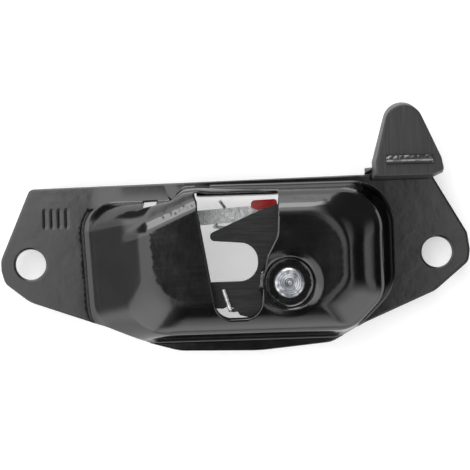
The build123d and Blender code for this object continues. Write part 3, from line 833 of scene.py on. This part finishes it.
# Rivet: foot, shank and head, the head's face spun in shallow rings.
RIVET_SIDE = [
    (0.05, -3.8), (4.9, -3.8), (5.5, -3.3), (5.5, -2.05), (4.0, -2.0), (4.0, 17.4), (5.6, 17.5),
    (5.85, 17.7), (5.85, 18.3), (5.78, 18.7), (5.6, 19.05), (5.3, 19.3), (4.9, 19.42),
]
RIVET_MIDDLE = [(0.35, 19.40), (0.05, 19.36)]
SPUN_FROM, SPUN_STEP, SPUN_ROWS, SPUN_PITCH = 4.8, 0.155, 30, 0.85
SPUN_Z, SPUN_CROWN, SPUN_DEPTH = 19.46, 0.14, 0.035


def rivet_profile():
    profile = list(RIVET_SIDE)
    for k in range(SPUN_ROWS):
        r = SPUN_FROM - SPUN_STEP * k
        ripple = SPUN_DEPTH * math.sin(2 * math.pi * r / SPUN_PITCH)
        profile.append((r, SPUN_Z + SPUN_CROWN * (1 - r / SPUN_FROM) + ripple))
    return profile + RIVET_MIDDLE


lathe("spun_rivet", rivet_profile(), CLAW_X, CLAW_Y, spun_zinc(), "frame", "zinc",
      ("claw_pivot_rivet",))
dress("claw", "claw_jaw", CLAW_BLACK, "claw", 0.30)
dress("back_plate", "back_plate_pressed", ZINC, "frame", 0.25)
dress("release_lever", "lever_pressed", ZINC_ARM, "lever", 0.25)
dress("pawl", "pawl_tooth", STEEL, "pawl", 0.3)

# The clip's body above its seat is narrowed from below; its peg keeps its shape.
CLIP_SEAT, CLIP_LOW, CLIP_SQUEEZE = -2.45, 19.6, 0.15
CLIP_PEG, PEG_CLEAR = (12.0, 15.6), 2.3


def clip_moulded():
    clip = dress("rod_clip", "clip_moulded", RED, "lever", 0.35)
    for vertex in clip.data.vertices:
        from_peg = math.hypot(vertex.co.x / MM - CLIP_PEG[0], vertex.co.y / MM - CLIP_PEG[1])
        below = CLIP_LOW * MM - vertex.co.y
        if vertex.co.z > CLIP_SEAT * MM and below > 0 and from_peg > PEG_CLEAR:
            vertex.co.y = CLIP_LOW * MM - below * CLIP_SQUEEZE


clip_moulded()
dress("release_paddle", "paddle_cap", PADDLE_BLACK, "lever", 0.3, angle=25)

FLOOR_TONE, FLOOR_SEEN, FLOOR_MIRRORED = 0.80, 0.42, 0.28


def floor():
    """Plain white floor that takes the object's shadow."""
    half, z = FLOOR_HALF * MM, FLOOR_Z * MM
    corners = [(-half, -half, z), (half, -half, z), (half, half, z), (-half, half, z)]
    mesh = bpy.data.meshes.new("floor")
    mesh.from_pydata(corners, [], [(0, 1, 2, 3)])
    obj = bpy.data.objects.new("floor", mesh)
    bpy.context.scene.collection.objects.link(obj)
    mat = bpy.data.materials.new("floor_white")
    mat.use_nodes = True
    mat.node_tree.nodes.clear()
    n = Nodes(mat.node_tree)
    diffuse = n.add("ShaderNodeBsdfDiffuse", Color=(FLOOR_TONE, FLOOR_TONE, FLOOR_TONE, 1))
    glow = n.add("ShaderNodeEmission")
    ray = n.add("ShaderNodeLightPath").outputs
    mirrored = n.most(ray["Is Glossy Ray"], ray["Is Transmission Ray"])
    n.link(n.most(n.times(ray["Is Camera Ray"], FLOOR_SEEN), n.times(mirrored, FLOOR_MIRRORED)),
           glow.inputs["Strength"])
    both = n.add("ShaderNodeAddShader")
    n.link(diffuse.outputs[0], both.inputs[0])
    n.link(glow.outputs[0], both.inputs[1])
    n.link(both.outputs[0], n.add("ShaderNodeOutputMaterial").inputs["Surface"])
    obj.data.materials.append(mat)


# Light tent: strength of each panel, how much the left one leans, brightens and fades at its
# outer end, and the share taken off at the upper left.
LEFT_LEVEL, LEFT_LEAN, LEFT_BRIGHTER, LEFT_FADE = 1.60, 0.45, 0.45, 1.15
TOP_LEVEL, BOTTOM_LEVEL, RIGHT_LEVEL = 2.5, 2.0, 1.25
LOWER_RIGHT_LEVEL, LOWER_LEFT_LEVEL, UPPER_LEFT_CUT = 1.9, 0.6, 0.92
TENT_DIM = 0.025
# Strips of the tent on the right: middle, half width and strength.
STRIPS = ((0.36, 0.07, 1.0), (0.76, 0.10, 1.15))
STRIP_CORE = 0.4


def tent_glow(n, x, y, z):
    """Strength of the tent toward a direction: dark above, bright panels round it."""
    lean = n.times(n.most(n.minus(-0.08, y), 0.0), LEFT_LEAN)
    left = n.times(n.spread(n.plus(x, lean), -0.046, -0.078), LEFT_LEVEL)
    left = n.plus(left, n.times(left, n.spread(y, 0.006, 0.022, 0.0, LEFT_BRIGHTER)))
    left = n.minus(left, n.times(n.spread(x, -0.90, -0.97), LEFT_FADE))
    top = n.times(n.spread(y, 0.05, 0.42), TOP_LEVEL)
    top = n.times(top, n.spread(x, 0.055, 0.22, 1.0, 0.04))
    bottom = n.times(n.spread(y, -0.78, -0.94), BOTTOM_LEVEL)
    bottom = n.times(bottom, n.spread(z, 0.0, 0.10, 0.25, 1.0))
    lower_right = n.times(n.spread(y, -0.12, -0.50), n.spread(x, 0.08, 0.40))
    lower_left = n.times(n.spread(y, -0.15, -0.60), n.spread(x, -0.10, -0.50))
    total = n.plus(left, n.times(lower_left, LOWER_LEFT_LEVEL))
    total = n.most(n.plus(top, bottom), total)
    total = n.most(total, n.times(lower_right, LOWER_RIGHT_LEVEL))
    right = n.minus(n.times(n.spread(x, 0.074, 0.090), RIGHT_LEVEL),
                    n.times(n.spread(x, 0.13, 0.20), RIGHT_LEVEL))
    for middle, half, level in STRIPS:
        core = half * STRIP_CORE
        band = n.times(n.spread(x, middle - half, middle - core),
                       n.spread(x, middle + core, middle + half, 1.0, 0.0))
        right = n.most(right, n.times(band, level))
    total = n.most(total, n.times(right, n.spread(y, 0.05, 0.35, 1.0, 0.0)))
    upper_left = n.times(n.spread(y, 0.22, 0.45), n.spread(x, -0.32, -0.55))
    total = n.times(total, n.minus(1.0, n.times(upper_left, UPPER_LEFT_CUT)))
    return n.plus(n.times(total, n.spread(z, -0.05, 0.22, 0.75, 1.0)), TENT_DIM)


def world():
    """Light tent, seen white by the camera."""
    tent = bpy.data.worlds.new("tent")
    bpy.context.scene.world = tent
    tent.use_nodes = True
    tent.node_tree.nodes.clear()
    n = Nodes(tent.node_tree)
    x, y, z = n.split(n.add("ShaderNodeTexCoord").outputs["Generated"])
    lit = n.add("ShaderNodeBackground")
    n.link(tent_glow(n, x, y, z), lit.inputs["Strength"])
    white = n.add("ShaderNodeBackground")
    choose = n.add("ShaderNodeMixShader")
    n.link(n.add("ShaderNodeLightPath").outputs["Is Camera Ray"], choose.inputs[0])
    n.link(lit.outputs[0], choose.inputs[1])
    n.link(white.outputs[0], choose.inputs[2])
    n.link(choose.outputs[0], n.add("ShaderNodeOutputWorld").inputs["Surface"])


KEY_AT, KEY_SIZE, KEY_POWER = (-0.15, 0.95, 0.75), (0.8, 0.5), 3.0


def key_lamp():
    """Soft lamp from above the picture, aimed at the frame's origin."""
    data = bpy.data.lights.new("key", "AREA")
    data.shape = "RECTANGLE"
    data.size, data.size_y = KEY_SIZE
    data.energy = KEY_POWER
    obj = bpy.data.objects.new("key", data)
    obj.location = KEY_AT
    obj.rotation_euler = (-Vector(KEY_AT)).to_track_quat("-Z", "Y").to_euler()
    bpy.context.scene.collection.objects.link(obj)


floor()
world()
key_lamp()
